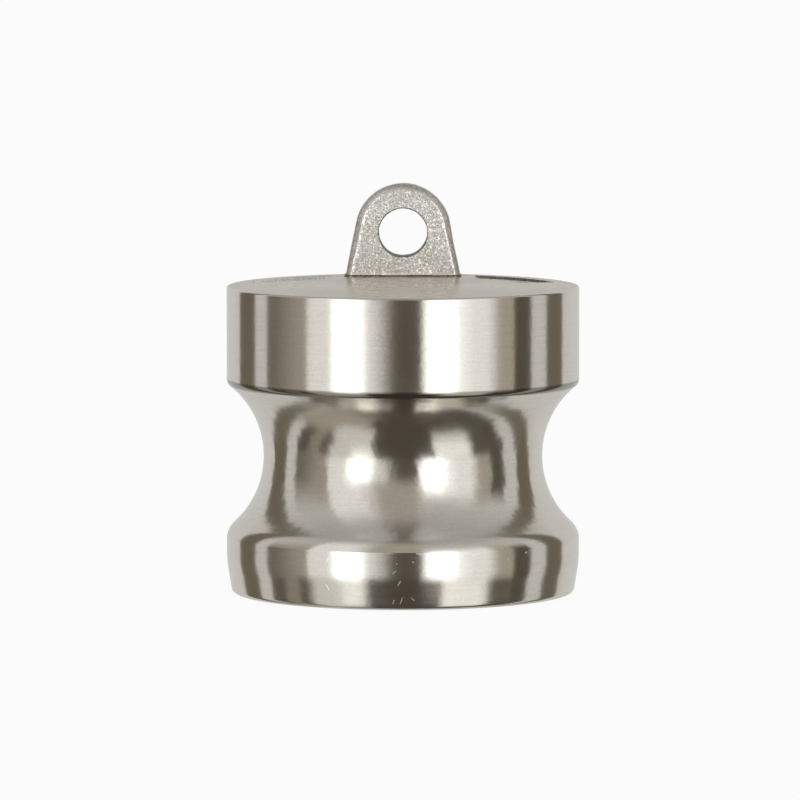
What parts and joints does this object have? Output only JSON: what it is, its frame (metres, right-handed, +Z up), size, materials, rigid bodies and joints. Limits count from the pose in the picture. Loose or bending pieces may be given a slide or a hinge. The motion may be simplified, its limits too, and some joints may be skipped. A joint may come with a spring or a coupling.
{
  "type": "cam-lever coupling dust plug",
  "caption": "Turned stainless dust plug with an arc groove for the cams of a hose coupler, a hollow closed-crown body and an eye lug on top.",
  "frame": {"origin": "on the plug's axis at the plane of the open rim, which is the bottom of the part", "axes": "+Z up along the plug's axis from the rim to the crown, +Y towards the eye lug and along its eye, +X across the lug"},
  "size_m": [0.032, 0.032, 0.0367],
  "materials": {
    "turned_steel": "turned bright on a lathe, satin crown",
    "cast_steel": "investment-cast skin, lightly blasted"
  },
  "bodies": {
    "root": {"plug_body": "turned_steel", "eye_lug": "cast_steel"}
  },
  "joints": []
}
